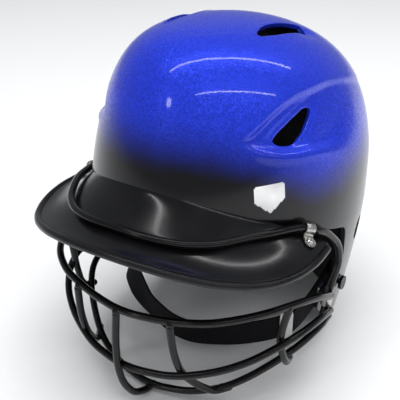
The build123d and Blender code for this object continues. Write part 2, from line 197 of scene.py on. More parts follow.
def shell_look():
    """Metallic blue with fine flake, fading to gloss black round the lower shell."""
    look = Look("shell_paint", BLUE, 0.3, Metallic=0.35, Coat_Weight=0.55, Coat_Roughness=0.06,
                Coat_IOR=1.45, Specular_IOR_Level=0.15)
    flake = look.texture("Voronoi", 1500.0)
    cloud = look.texture("Noise", 28.0, Detail=3.0)
    split = look.nodes.new("ShaderNodeSeparateXYZ")
    look.link(look.place.outputs["Object"], split.inputs["Vector"])
    # the fade sits high at the front, drops to the temples and stays low round the back
    forward = look.scaled(split.outputs["Y"], -0.09, -0.01, 0.0, 1.0, smooth=True)
    middle = look.scaled(forward, 0.0, 1.0, 0.188, 0.154)
    drift = look.scaled(cloud.outputs["Fac"], 0.3, 0.7, -0.003, 0.003)
    height = look.arithmetic("SUBTRACT", split.outputs["Z"], middle)
    height = look.arithmetic("ADD", height, drift)
    fade = look.scaled(height, -0.012, 0.034, 0.0, 1.0, smooth=True)
    blue = look.mixed(flake.outputs["Color"], (0.008, 0.026, 0.46), (0.024, 0.062, 0.86))
    paint = look.mixed(fade, (0.003, 0.003, 0.004), blue)
    look.link(paint, look.shader.inputs["Base Color"])
    # each flake lies at its own small tilt
    geometry = look.nodes.new("ShaderNodeNewGeometry")
    centred = look.vector("SUBTRACT", flake.outputs["Color"], (0.5, 0.5, 0.5))
    tilt = look.vector("SCALE", centred, look.scaled(fade, 0.0, 1.0, 0.015, 0.22))
    tilted = look.vector("ADD", geometry.outputs["Normal"], tilt)
    look.link(look.vector("NORMALIZE", tilted), look.shader.inputs["Normal"])
    look.link(look.scaled(fade, 0.0, 1.0, 0.0, 0.35), look.shader.inputs["Metallic"])
    return look.material


def floor_look():
    """Matt white paper with a faint unevenness."""
    look = Look("floor_paper", WHITE, 0.9)
    cloud = look.texture("Noise", 2.2, Detail=2.0)
    look.link(look.mixed(cloud.outputs["Fac"], (0.86, 0.87, 0.88), (0.91, 0.91, 0.91)),
              look.shader.inputs["Base Color"])
    grain = look.texture("Noise", 500.0, Detail=2.0)
    look.bump(grain.outputs["Fac"], 0.03)
    return look.material


def plastic_look(name, colour, roughness, grain, depth, **sockets):
    """Moulded plastic or vinyl with a faint grain and slightly uneven gloss."""
    look = Look(name, colour, roughness, **sockets)
    fine = look.texture("Noise", grain, Detail=4.0)
    broad = look.texture("Noise", 45.0, Detail=2.0)
    uneven = look.scaled(broad.outputs["Fac"], 0.3, 0.7, roughness * 0.8, roughness * 1.25)
    look.link(uneven, look.shader.inputs["Roughness"])
    tone = look.scaled(broad.outputs["Fac"], 0.3, 0.7, 0.0, 1.0)
    look.link(look.mixed(tone, tuple(0.8 * c for c in colour), tuple(1.3 * c for c in colour)),
              look.shader.inputs["Base Color"])
    look.bump(fine.outputs["Fac"], depth)
    return look.material


def metal_look(name, colour, roughness, stretch):
    """Plated steel with fine drawn lines and dull patches."""
    look = Look(name, colour, roughness, Metallic=1.0)
    lines = look.texture("Noise", 900.0, stretch=stretch, Detail=3.0)
    patches = look.texture("Noise", 260.0, Detail=3.0)
    rough = look.scaled(patches.outputs["Fac"], 0.35, 0.7, roughness * 0.7, roughness * 1.6)
    look.link(rough, look.shader.inputs["Roughness"])
    share = look.scaled(patches.outputs["Fac"], 0.4, 0.75, 0.0, 1.0)
    look.link(look.mixed(share, colour, tuple(0.55 * c for c in colour)),
              look.shader.inputs["Base Color"])
    look.bump(lines.outputs["Fac"], 0.05)
    return look.material


def fabric_look(name, colour, thread):
    """Knitted cover fabric on foam: a fine crossed rib and a soft sheen."""
    look = Look(name, colour, 0.92, Sheen_Weight=0.05, Sheen_Roughness=0.5,
                Specular_IOR_Level=0.1)
    across = look.texture("Wave", 0.314 / (thread * MM), Distortion=0.6)
    across.bands_direction = "Z"
    along = look.texture("Wave", 0.314 / (thread * MM), Distortion=0.6)
    along.bands_direction = "DIAGONAL"
    rib = look.arithmetic("MULTIPLY", across.outputs["Fac"], along.outputs["Fac"])
    wear = look.texture("Noise", 60.0, Detail=4.0)
    tone = look.scaled(wear.outputs["Fac"], 0.35, 0.7, 0.0, 1.0)
    look.link(look.mixed(tone, colour, tuple(1.9 * c for c in colour)),
              look.shader.inputs["Base Color"])
    look.bump(rib, 0.35)
    return look.material


def webbing_look():
    """Flat woven webbing: ribs across the strap, threads along it, in its UVs."""
    look = Look("webbing", BLACK, 0.85, Sheen_Weight=0.05, Sheen_Roughness=0.4,
                Specular_IOR_Level=0.1)
    ribs = look.texture("Wave", 1.0, "UV", stretch=(63.0, 0.0, 0.0))
    ribs.bands_direction = "X"
    threads = look.texture("Wave", 1.0, "UV", stretch=(0.0, 4.4, 0.0))
    threads.bands_direction = "Y"
    weave = look.arithmetic("MULTIPLY", ribs.outputs["Fac"], threads.outputs["Fac"])
    look.link(look.mixed(weave, (0.003, 0.003, 0.004), (0.014, 0.014, 0.016)),
              look.shader.inputs["Base Color"])
    look.bump(weave, 0.3)
    return look.material


shell_paint = shell_look()
shell_inside = plastic_look("shell_inside", (0.012, 0.012, 0.013), 0.55, 900.0, 0.05)
gloss_black = plastic_look("visor_plastic", (0.004, 0.004, 0.005), 0.2, 160.0, 0.004, Coat_Weight=0.1,
                           Coat_Roughness=0.06, Specular_IOR_Level=0.3)
trim_vinyl = plastic_look("trim_vinyl", (0.005, 0.005, 0.006), 0.3, 500.0, 0.03,
                          Specular_IOR_Level=0.3)
wire_vinyl = plastic_look("wire_vinyl", (0.003, 0.003, 0.0035), 0.2, 420.0, 0.03,
                          Coat_Weight=0.15, Coat_Roughness=0.12,
                          Specular_IOR_Level=0.22)
clip_metal = metal_look("clip_metal", (0.62, 0.61, 0.58), 0.28, (1.0, 1.0, 12.0))
screw_metal = metal_look("screw_metal", (0.70, 0.70, 0.68), 0.2, (1.0, 1.0, 1.0))
snap_metal = metal_look("snap_metal", (0.03, 0.03, 0.032), 0.3, (1.0, 1.0, 1.0))
cap_plastic = plastic_look("snap_cap_plastic", (0.02, 0.02, 0.022), 0.35, 500.0, 0.03)
pad_fabric = fabric_look("pad_fabric", (0.008, 0.008, 0.009), 1.4)
webbing = webbing_look()
thread_look = plastic_look("strap_thread", (0.03, 0.03, 0.033), 0.7, 900.0, 0.05)
slider_plastic = plastic_look("slider_plastic", (0.5, 0.5, 0.5), 0.35, 500.0, 0.03)
mark_white = plastic_look("mark_white", (0.78, 0.78, 0.78), 0.35, 600.0, 0.01)
floor_paper = floor_look()


# ---- the dome as a formula, as in the part ------------------------------------------------
CROWN = 257.4           # height of its top
SPRING = 120.0          # it springs from here
FULLNESS = 2.45         # superellipse power
HALF_LENGTH = 125.0
WIDTH_RATIO = 0.79
CENTRE_Y = 21.0
NAPE_INSET = 21.0       # the half length lost between the spring and the floor
BACK_BULGE = 7.0        # the shoulders lie this far behind the centre
CROWN_LEAN = 34.0       # the crown lies this far in front of it
WALL = 3.2


def dome_section(z, inset=0.0):
    """(half width, half length, centre y) of the dome's horizontal section at height z."""
    rise = min(max((z - SPRING) / (CROWN - inset - SPRING), 0.0), 1.0)
    drop = max(SPRING - z, 0.0) / SPRING
    half_length = HALF_LENGTH - NAPE_INSET * drop ** 1.5
    shrink = (1 - rise ** FULLNESS) ** (1 / FULLNESS)
    # 6.75 makes the bulge's curve 1 high at its peak
    shift = BACK_BULGE * 6.75 * rise ** 2 * (1 - rise) - CROWN_LEAN * rise ** 3
    half_width = WIDTH_RATIO * half_length - inset
    return half_width * shrink, (half_length - inset) * shrink, CENTRE_Y + shift


def dome_point(turn, z, inset=0.0):
    half_width, half_length, centre_y = dome_section(z, inset)
    return Vector((half_width * sin(turn), centre_y - half_length * cos(turn), z))


def dome_normal(turn, z):
    around = dome_point(turn + 0.002, z) - dome_point(turn - 0.002, z)
    low, high = max(z - 0.3, 0.0), min(z + 0.3, CROWN - 0.01)
    up = dome_point(turn, high) - dome_point(turn, low)
    normal = around.cross(up)
    return normal.normalized() if normal.length > 1e-9 else Vector((0, 0, 1))


# ---- outlines -----------------------------------------------------------------------------
def rounded(corners, radius):
    """A closed outline with its corners rounded."""
    outline = []
    for index, corner in enumerate(corners):
        here = Vector(corner)
        before = Vector(corners[index - 1])
        after = Vector(corners[(index + 1) % len(corners)])
        start = here + (before - here) * min(radius / (before - here).length, 0.45)
        end = here + (after - here) * min(radius / (after - here).length, 0.45)
        for share in (0.0, 0.25, 0.5, 0.75, 1.0):
            outline.append(start * (1 - share) ** 2 + here * (2 * share * (1 - share))
                           + end * share ** 2)
    return outline


def outside(point, outline, reach=30.0):
    """Distance from a closed outline: positive outside it, negative inside."""
    px, py = point
    if not (min(q.x for q in outline[::3]) - reach < px < max(q.x for q in outline[::3]) + reach):
        return reach
    nearest, inside = 1e9, False
    ax, ay = outline[-1]
    for q in outline:
        bx, by = q
        dx, dy = bx - ax, by - ay
        along = dx * dx + dy * dy
        share = min(max(((px - ax) * dx + (py - ay) * dy) / along, 0.0), 1.0) if along else 0.0
        nearest = min(nearest, (px - ax - share * dx) ** 2 + (py - ay - share * dy) ** 2)
        if (ay > py) != (by > py) and px < (bx - ax) * (py - ay) / (by - ay) + ax:
            inside = not inside
        ax, ay = bx, by
    return -sqrt(nearest) if inside else sqrt(nearest)


def along_curve(value, knots):
    """A smooth curve through (place, height) knots, level beyond its ends."""
    if value <= knots[0][0]:
        return knots[0][1]
    if value >= knots[-1][0]:
        return knots[-1][1]
    slopes = [0.0] * len(knots)
    for i in range(1, len(knots) - 1):
        slopes[i] = (knots[i + 1][1] - knots[i - 1][1]) / (knots[i + 1][0] - knots[i - 1][0])
    slopes[0] = (knots[1][1] - knots[0][1]) / (knots[1][0] - knots[0][0])
    slopes[-1] = (knots[-1][1] - knots[-2][1]) / (knots[-1][0] - knots[-2][0])
    for i in range(len(knots) - 1):
        if value <= knots[i + 1][0]:
            span = knots[i + 1][0] - knots[i][0]
            t = (value - knots[i][0]) / span
            return ((2 * t ** 3 - 3 * t ** 2 + 1) * knots[i][1]
                    + (t ** 3 - 2 * t ** 2 + t) * span * slopes[i]
                    + (3 * t ** 2 - 2 * t ** 3) * knots[i + 1][1]
                    + (t ** 3 - t ** 2) * span * slopes[i + 1])


OPENING = rounded([(-200, 138), (-62, 138), (-22, 128), (12, 116), (20, 84), (-6, 64), (-6, 50),
                   (56, 0), (76, -20), (76, -90), (-200, -90)], 6.0)
SIDE_VENT = rounded([(-49, 197), (-43, 202), (-31, 208), (-19, 212.5), (-11.5, 212.5), (-12, 209),
                     (-17, 204), (-24, 198), (-31, 193.5), (-37, 192), (-45, 193.5)], 2.5)
RIGHT_VENT_SHIFT = (6.0, -10.0)     # from the left top vent's mirror image, as in the photo
TOP_VENT = rounded([(34, -14), (31.5, -5), (30, 6), (31, 20), (33, 34), (36, 46), (41, 50),
                    (45, 43), (45, 22), (42, -1), (37.5, -15)], 4.0)
EAR_HOLE = [Vector((50 + 10 * cos(radians(turn)), 96 + 10 * sin(radians(turn))))
            for turn in range(0, 360, 12)]


# ---- shell --------------------------------------------------------------------------------
CREASE = [(-69, 196), (-66, 201), (-62, 204), (-53, 210), (-41, 217), (-25, 222), (-7, 223),
          (16, 222), (47, 215), (86, 203), (120, 190)]
LIP = [(-69, 196), (-63, 195), (-60, 193), (-53, 190), (-45, 188), (-34, 186), (-24, 185),
       (-10, 182), (20, 172), (80, 150)]


def side_relief(y, z):
    """How far the side panel round the side vent lies inside the plain dome."""
    if y < -72 or y > 115 or z < 150 or z > 226:
        return 0.0
    crease_z = along_curve(y, CREASE)
    lip_z = along_curve(y, LIP)
    depth = 4.3 * ramp(y, -70, -56) * (1 - 0.55 * ramp(y, -10, 40)) * (1 - ramp(y, 50, 110))
    soft = 7.0 + 38.0 * ramp(y, -15, 45)
    panel = depth * ramp(crease_z - z, 0.0, 5.0) * ramp(z - lip_z, 0.0, soft)
    ridge = 0.9 * ramp(y, -66, -55) * (1 - ramp(y, -25, 5))
    ridge *= max(1 - ((z - lip_z + 1.5) / 4.0) ** 2, 0.0)
    gap = outside((y, z), SIDE_VENT)
    well = 1.3 * (1 - ramp(gap, 1.5, 5.5)) * ramp(y, -62, -50)
    rim = 0.55 * max(1 - ((gap - 1.2) / 1.3) ** 2, 0.0)
    return panel - ridge + well - rim


def vent_place(x, y):
    """Plan place in the left top vent's terms, for either vent."""
    return (x, y) if x > 0 else (RIGHT_VENT_SHIFT[0] - x, y - RIGHT_VENT_SHIFT[1])


def top_relief(x, y):
    """The scoop behind each top vent and the faint brow line between the two."""
    side, y = vent_place(x, y)
    gap = outside((side, y), TOP_VENT)
    scoop = 2.4 * (1 - ramp(gap, 0.0, 9.0)) * ramp(side, 36, 42) * ramp(y, 20, 46)
    scoop *= 1 - ramp(y, 58, 84)
    rim = 0.4 * max(1 - ((gap - 1.0) / 1.2) ** 2, 0.0)
    brow_y = -44.0 + 0.033 * x * x
    line = 0.5 * (1 - ramp(abs(x), 20, 34)) * (1 - ramp(y - brow_y, -1.2, 1.2))
    line *= 1 - ramp(brow_y - y, 0.0, 22.0)
    return scoop - rim - 0.6 * line


def shell_rows(step):
    """Heights of the grid's rows, evenly spaced along the dome's profile."""
    heights = [step * n for n in range(int(SPRING / step))]
    travelled, due = 0.0, 0.0
    radius, parts = 112.0, 4000     # of the profile between the dome's side and front
    last = (radius, SPRING)
    for n in range(parts + 1):
        turn = pi / 2 * n / parts
        spot = (radius * cos(turn) ** (2 / FULLNESS),
                SPRING + (CROWN - SPRING) * sin(turn) ** (2 / FULLNESS))
        travelled += sqrt((spot[0] - last[0]) ** 2 + (spot[1] - last[1]) ** 2)
        last = spot
        if travelled >= due and spot[0] > 0.6:
            heights.append(spot[1])
            due += step
    return heights


def open_place(turn, z):
    """Positive on the shell, negative in its opening and holes."""
    x, y, _ = dome_point(turn, z)
    left = outside((y, z), OPENING)
    if z > 180 and abs(x) > 25:
        left = min(left, outside((y, z), SIDE_VENT))
    if z > 215:
        left = min(left, outside(vent_place(x, y), TOP_VENT))
    if 70 < z < 120 and y > 30:
        left = min(left, outside((y, z), EAR_HOLE))
    return left


def shell_surface(columns, step):
    """Points and faces of the shell's outer face, cut along its opening and holes."""
    rows = shell_rows(step)
    spots = [[2 * pi * c / columns, z] for z in rows for c in range(columns)]
    value = [open_place(*spot) for spot in spots]
    moves = {}
    for r in range(len(rows)):
        for c in range(columns):
            here = r * columns + c
            for there in (r * columns + (c + 1) % columns, here + columns):
                if there >= len(spots) or value[here] * value[there] >= 0:
                    continue
                share = value[here] / (value[here] - value[there])
                near, far, part = (here, there, share) if share < 0.5 else (there, here, 1 - share)
                if near not in moves or part < moves[near][1]:
                    moves[near] = (far, part)
    moved = {}
    for near, (far, part) in moves.items():
        turn_gap = (spots[far][0] - spots[near][0] + pi) % (2 * pi) - pi
        moved[near] = [spots[near][0] + part * turn_gap,
                       spots[near][1] + part * (spots[far][1] - spots[near][1])]
    for near, spot in moved.items():
        spots[near], value[near] = spot, 0.0
    points = []
    for turn, z in spots:
        point = dome_point(turn, z)
        depth = side_relief(point.y, z) if z > 150 else 0.0
        if z > 225:
            depth += top_relief(point.x, point.y)
        points.append(point - dome_normal(turn, z) * depth if depth else point)
    faces = [[n for n in quad if value[n] >= 0] for quad in ring_quads(len(rows), columns)]
    faces = [face for face in faces if len(face) > 2]
    faces.append([(len(rows) - 1) * columns + c for c in range(columns)])
    used = sorted({n for face in faces for n in face})
    place = {n: i for i, n in enumerate(used)}
    return [points[n] for n in used], [[place[n] for n in face] for face in faces]


def build_shell():
    columns, step = ((380, 1.8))
    points, faces = shell_surface(columns, step)
    shell = make("shell_moulding", points, faces, (shell_paint, shell_inside), slot="shell",
                 replaces=("shell",))
    wall = shell.modifiers.new("wall", "SOLIDIFY")
    wall.thickness = WALL * MM
    wall.offset = -1.0
    wall.material_offset = 1
    bevel(shell, 0.8, angle=60.0)
    settle(shell)


# ---- visor --------------------------------------------------------------------------------
VISOR_AXIS_Y = -25.0    # its sections fan out round this upright line
VISOR_WALL = 3.0
FILLET_SHARE = 0.45     # the part of its reach that the root's fillet takes up


def ellipse_reach(angle, half_width, half_length, centre_y):
    """How far an ellipse lies from the visor's axis in the direction of angle."""
    side, front = sin(radians(angle)), cos(radians(angle))
    offset = centre_y - VISOR_AXIS_Y
    a = (side / half_width) ** 2 + (front / half_length) ** 2
    b = 2 * offset * front / half_length ** 2
    c = (offset / half_length) ** 2 - 1
    return (-b + sqrt(b * b - 4 * a * c)) / (2 * a)


def visor_stations(angle):
    """(reach, z) of the visor's upper face at its root, middle and edge."""
    front = cos(radians(angle))
    droop = sin(radians(min(abs(angle) * 90.0 / 62.0, 90.0))) ** 2
    root_z = 128.0 + 46.0 * front
    edge_z = 147.0 - 20.5 * droop
    root = ellipse_reach(angle, *dome_section(root_z)) - 0.6
    edge = ellipse_reach(angle, 106.0, 94.0, -52.0)
    return (root, root_z), ((root + edge) / 2, (root_z + edge_z) / 2 - 9.0 * front), (edge, edge_z)


def visor_profile(angle, share):
    """(reach, z) of the upper face; near the root a fillet climbs the shell."""
    (r0, z0), (_, z1), (r2, z2) = visor_stations(angle)
    front = cos(radians(angle))
    along = max(share, FILLET_SHARE)
    z = parabola(along, z0, z1, z2)
    reach = r0 + (r2 - r0) * along
    if share < FILLET_SHARE:
        top_z = z0 + 6.0 * front ** 2
        top = ellipse_reach(angle, *dome_section(top_z)) - 0.25
        low_z = z0 - 7.3 * front
        # a tight corner: the guide point pulls four times as hard as the ends
        u = share / FILLET_SHARE
        a, b, c = (1 - u) ** 2, 8 * u * (1 - u), u ** 2
        reach = (top * a + (r0 + 0.9) * b + reach * c) / (a + b + c)
        z = (top_z * a + low_z * b + z * c) / (a + b + c)
    return reach, z - 1.6 * ramp(share, 0.90, 1.06)


def visor_spot(angle, share, low=0.0):
    """A point of the visor's upper face, or low times the wall under it."""
    reach, z = visor_profile(angle, share)
    z -= low * VISOR_WALL * (1.3 - 0.3 * share)
    if low:
        reach = min(reach, ellipse_reach(angle, *dome_section(z)) - 0.3) if share < 0.05 else reach
        reach -= 0.5 * VISOR_WALL * (1 - share)
    return Vector((reach * sin(radians(angle)), VISOR_AXIS_Y - reach * cos(radians(angle)), z))


def build_visor():
    spans, steps = 170, 40
    points = []
    for n in range(spans + 1):
        angle = -86.0 + 172.0 * n / spans
        points += [visor_spot(angle, k / steps) for k in range(steps + 1)]
        points += [visor_spot(angle, k / steps, 1.0) for k in range(steps, -1, -1)]
    loop = 2 * (steps + 1)
    faces = ring_quads(spans + 1, loop)
    for n, flip in ((0, False), (spans, True)):
        for k in range(steps):
            quad = (n * loop + k, n * loop + loop - 1 - k, n * loop + loop - 2 - k, n * loop + k + 1)
            faces.append(quad[::-1] if flip else quad)
    visor = make("visor_moulding", points, faces, (gloss_black,), slot="visor",
                 replaces=("visor",))
    bevel(visor, 0.7, angle=40.0)
    settle(visor)


# ---- chin strap ---------------------------------------------------------------------------
STRAP_HALF = [(0, -56), (36, -45), (62, -30), (81, -13), (81, 36)]
STRAP_ROUTE = [(-x, y) for x, y in STRAP_HALF[:0:-1]] + STRAP_HALF
SNAP_Y, SNAP_Z = 28.0, 57.0
STRAP_SLOPE = (SNAP_Z - 26.0) / (SNAP_Y + 56.0)     # down to its front, at y -56 and z 26
STRAP_HALF_HEIGHT = 10.0
STRAP_LEAN = 26.0       # degrees, near the wearer's right snap


def smooth_route(corners, steps):
    """A smooth plan curve guided by corners; it starts and ends on the first and the last."""
    middles = [Vector(corners[0])]
    middles += [(Vector(a) + Vector(b)) / 2 for a, b in zip(corners[1:-2], corners[2:-1])]
    middles += [Vector(corners[-1])]
    curve = []
    for start, guide, end in zip(middles, corners[1:-1], middles[1:]):
        for n in range(steps):
            t = n / steps
            curve.append(start * (1 - t) ** 2 + Vector(guide) * 2 * t * (1 - t) + end * t * t)
    return curve + [middles[-1]]


def strap_frame(curve, n):
    """(middle, sideways, upward) of the strap at a point of its curve."""
    ahead = curve[min(n + 1, len(curve) - 1)] - curve[max(n - 1, 0)]
    spot = curve[n]
    middle = Vector((spot.x, spot.y, SNAP_Z + STRAP_SLOPE * (spot.y - SNAP_Y)))
    side = Vector((ahead.y, -ahead.x, 0)).normalized()
    lean = radians(STRAP_LEAN) * ramp(-spot.x, 30, 62) * (1 - ramp(spot.y, -12, 14))
    up = Vector((0, 0, cos(lean))) + side * -sin(lean)
    return middle, side * cos(lean) + Vector((0, 0, sin(lean))), up


def rounded_bar(half_height, half_wall, radius):
    """Section of a flat bar, as (sideways, upward) points."""
    section = []
    for corner in range(4):
        cx = (half_wall - radius) * (1 if corner in (0, 3) else -1)
        cz = (half_height - radius) * (1 if corner < 2 else -1)
        for step in range(4):
            turn = radians(90 * corner + 30 * step)
            section.append((cx + radius * cos(turn), cz + radius * sin(turn)))
    fine = []
    for (ax, az), (bx, bz) in zip(section, section[1:] + section[:1]):
        cuts = max(int(sqrt((bx - ax) ** 2 + (bz - az) ** 2) / 1.6), 1)
        fine += [(ax + (bx - ax) * k / cuts, az + (bz - az) * k / cuts) for k in range(cuts)]
    return fine


def give_uvs(piece, spots):
    """Puts each vertex at its (length, height) place on the webbing."""
    layer = piece.data.uv_layers.new(name="webbing")
    for loop in piece.data.loops:
        layer.data[loop.index].uv = spots[loop.vertex_index]


def build_strap():
    curve = smooth_route(STRAP_ROUTE, 24)
    section = rounded_bar(STRAP_HALF_HEIGHT, 0.8, 0.7)
    points, spots = [], []
    for n in range(len(curve)):
        middle, side, up = strap_frame(curve, n)
        end = min(n, len(curve) - 1 - n)
        narrow = 1.0 - 0.08 * max(1 - end / 3.0, 0.0)
        ripple = 0.25 * noise.noise(middle * 0.045)
        for sideways, upward in section:
            edge = 0.22 * max(abs(upward) / STRAP_HALF_HEIGHT - 0.82, 0.0) / 0.18
            wide = sideways * (1 + edge) + ripple
            points.append(middle + side * wide + up * upward * narrow)
            spots.append((n / len(curve), (upward + STRAP_HALF_HEIGHT) / (2 * STRAP_HALF_HEIGHT)))
    strap = make("chin_strap_webbing", points, tube_faces(len(curve), len(section)), (webbing,),
                 body="strap", slot="webbing", replaces=("chin_strap",))
    give_uvs(strap, spots)
    bevel(strap, 0.3, angle=60.0, segments=2)
    settle(strap)


def capsule(start, end, radius, lift):
    """Points and faces of one stitch: a short thread that bows up between its two holes."""
    run, across = end - start, lift.cross(end - start).normalized()
    points = []
    for share, size in ((0.0, 0.35), (0.18, 0.9), (0.5, 1.0), (0.82, 0.9), (1.0, 0.35)):
        middle = start + run * share + lift * radius * 1.2 * sin(pi * share)
        points += [middle + (across * cos(turn) + lift * sin(turn)) * radius * size
                   for turn in (radians(60 * k) for k in range(6))]
    return points, tube_faces(5, 6)


def build_stitches():
    """Box stitching round each snap, on both faces of the strap."""
    points, faces = [], []

    def sew(corners, face):
        for a, b in zip(corners, corners[1:]):
            a, b = Vector(a), Vector(b)
            count = max(int((b - a).length / 2.6), 1)
            for k in range(count):
                start, end = a.lerp(b, (k + 0.12) / count), a.lerp(b, (k + 0.88) / count)
                new, quads = capsule(start, end, 0.32, Vector((face, 0, 0)))
                faces.extend([[i + len(points) for i in quad] for quad in quads])
                points.extend(new)

    for side in (-1, 1):
        for face in (-1, 1):
            x = side * 80.9 + face * 0.85
            box = [(18.5, -7.5), (35.0, -7.5), (35.0, 7.5), (18.5, 7.5), (18.5, -7.5)]
            sew([(x, y, SNAP_Z + STRAP_SLOPE * (y - SNAP_Y) + up) for y, up in box], face)
    make("chin_strap_stitching", points, faces, (thread_look,), body="strap", slot="webbing")


def build_slider():
    """A moulded bar slider: a rounded sleeve round the strap with two ribs."""
    curve = smooth_route(STRAP_ROUTE, 24)
    centre = min(range(len(curve)), key=lambda n: (curve[n] - Vector((71.5, -21.5))).length)
    middle, side, up = strap_frame(curve, centre)
    along = side.cross(up).normalized()
    outer, inner = rounded_bar(11.6, 2.4, 1.3), rounded_bar(10.4, 1.2, 0.9)
    points = []
    stations = [(-5.0, inner, 0.0), (-5.0, outer, -0.45), (-4.5, outer, 0.0), (-3.0, outer, 0.0),
                (-2.4, outer, -0.3), (2.4, outer, -0.3), (3.0, outer, 0.0), (4.5, outer, 0.0),
                (5.0, outer, -0.45), (5.0, inner, 0.0)]
    count = 48
    for place, section, grow in stations:
        for k in range(count):
            where = k / count * len(section)
            low = section[int(where) % len(section)]
            high = section[(int(where) + 1) % len(section)]
            share = where - int(where)
            sideways, upward = (low[i] * (1 - share) + high[i] * share for i in (0, 1))
            size = 1 + grow / 11.0
            wide = sideways + grow * (1 if sideways > 0 else -1) * 0.4
            points.append(middle + along * place + side * wide + up * upward * size)
    make("strap_slider_bar", points, ring_quads(len(stations), count, closed=True),
         (slider_plastic,), body="strap", slot="slider", replaces=("strap_slider",))


# ---- pads ---------------------------------------------------------------------------------
PAD_INSET = 1.6         # the cover starts this far inside the foam's solid
PAD_RISE = 5.0          # and is blown out by this much at most


def near_shape(piece, shape, proud):
    """Keeps a pad's points within proud of the solid that it stands for."""
    tree = BVHTree.FromPolygons([v.co.copy() for v in shape.vertices],
                                [tuple(p.vertices) for p in shape.polygons])
    for vertex in piece.data.vertices:
        spot, normal, _, _ = tree.find_nearest(vertex.co)
        over = (vertex.co - spot).dot(normal) - proud * MM
        if over > 0:
            vertex.co -= normal * over


def puff(piece, steps):
    """Blows the pad up as cloth and turns the result into mesh."""
    cloth = piece.modifiers.new("cloth", "CLOTH")
    cloth.settings.use_pressure = True
    cloth.settings.uniform_pressure_force = 4.0
    cloth.settings.effector_weights.gravity = 0.0
    cloth.settings.quality = 4
    cloth.point_cache.frame_end = steps
    scene = bpy.context.scene
    for step in range(1, steps + 1):
        scene.frame_set(step)
    settle(piece)
    scene.frame_set(1)


def groove(piece, middle, direction, depth, width):
    """Presses a sewn channel into a pad where a plane cuts it."""
    normal = Vector(direction).normalized()
    for vertex in piece.data.vertices:
        gap = (vertex.co / MM - Vector(middle)).dot(normal)
        press = depth * MM * max(1 - (gap / width) ** 2, 0.0) ** 2
        if press:
            vertex.co -= vertex.normal * press


def build_pad(node_name, channels):
    """A padded form in the space of one of the frame's foam solids."""
    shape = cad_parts[node_name].data
    mesh = shape.copy()
    mesh.materials.clear()
    mesh.materials.append(pad_fabric)
    piece = bpy.data.objects.new(node_name + "_cushion", mesh)
    bpy.context.scene.collection.objects.link(piece)
    coarse = piece.modifiers.new("coarse", "REMESH")
    coarse.mode = "VOXEL"
    coarse.voxel_size = 0.0036
    settle(piece)
    piece.data.update()
    for vertex in piece.data.vertices:
        vertex.co -= vertex.normal * PAD_INSET * MM
    before = [vertex.co.copy() for vertex in piece.data.vertices]
    puff(piece, 20)
    for vertex, start in zip(piece.data.vertices, before):
        move = vertex.co - start
        if move.length > PAD_RISE * MM:
            vertex.co = start + move.normalized() * PAD_RISE * MM
    near_shape(piece, shape, 0.0)
    finer = piece.modifiers.new("finer", "SUBSURF")
    finer.levels = finer.render_levels = 1
    settle(piece)
    for middle, direction in channels:
        groove(piece, middle, direction, 1.7, 2.6)
    for polygon in piece.data.polygons:
        polygon.use_smooth = True
    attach(piece, "helmet")
    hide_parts(node_name)


PAD_CHANNELS = {
    "front_pad": [((-22, 0, 0), (1, 0, 0)), ((22, 0, 0), (1, 0, 0))],
    "back_pad": [((-28, 0, 0), (1, 0, 0)), ((28, 0, 0), (1, 0, 0)), ((0, 0, 105), (0, 0, 1))],
    "crown_pad": [((0, -20, 0), (0, 1, 0)), ((0, 25, 0), (0, 1, 0))],
    "side_pad_left": [((0, 6, 0), (0, 1, 0)), ((0, 40, 0), (0, 1, 0))],
    "side_pad_right": [((0, 6, 0), (0, 1, 0)), ((0, 40, 0), (0, 1, 0))],
    "ear_pad_left": [((0, 70, 0), (0, 1, 0))],
    "ear_pad_right": [((0, 70, 0), (0, 1, 0))],
}


# ---- screws, snaps and the mark -----------------------------------------------------------
def axes(out):
    """Two directions square to out."""
    first = out.cross(Vector((0, 0, 1)))
    if first.length < 0.1:
        first = out.cross(Vector((0, 1, 0)))
    first.normalize()
    return first, out.cross(first).normalized()


def turned_piece(seat, out, profile, count=40):
    """Points and faces of a turned piece: profile is (height, radius) from its open end."""
    first, second = axes(out)
    points = []
    for height, radius in profile:
        for k in range(count):
            turn = 2 * pi * k / count
            points.append(seat + out * height + (first * cos(turn) + second * sin(turn)) * radius)
    return points, tube_faces(len(profile), count)


def joined(parts):
    points, faces = [], []
    for new, quads in parts:
        faces += [[i + len(points) for i in quad] for quad in quads]
        points += [Vector(p) for p in new]
    return points, faces


def mirrored(part):
    points, faces = part
    return [Vector((-p.x, p.y, p.z)) for p in points], [tuple(face)[::-1] for face in faces]


# the clips' places, worked out as in the part
WIRE_RADIUS = 2.6
CLIP_RADIUS = WIRE_RADIUS + 0.3 + 1.2       # with the gap and the sheet


def dome_x(y, z):
    half_width, half_length, centre_y = dome_section(z)
    return half_width * sqrt(max(1 - ((y - centre_y) / half_length) ** 2, 0.0))


def visor_face(angle, reach):
    """A point of the part's visor face."""
    (r0, z0), (_, z1), (r2, z2) = visor_stations(angle)
    r0 += 1.0
    z = parabola((reach - r0) / (r2 - r0), z0, z1, z2)
    return Vector((reach * sin(radians(angle)), VISOR_AXIS_Y - reach * cos(radians(angle)), z))


def upper_place():
    """(screw seat, outward, foot direction) of the left clip on the visor."""
    angle, reach = 77.7, 97.6
    outward = visor_face(angle, reach + 1) - visor_face(angle, reach - 1)
    around = visor_face(angle + 1, reach) - visor_face(angle - 1, reach)
    out = outward.cross(around).normalized()
    foot = Vector((0.56, 0.74, -0.37)).cross(out).normalized()
    return visor_face(angle, reach), out, foot


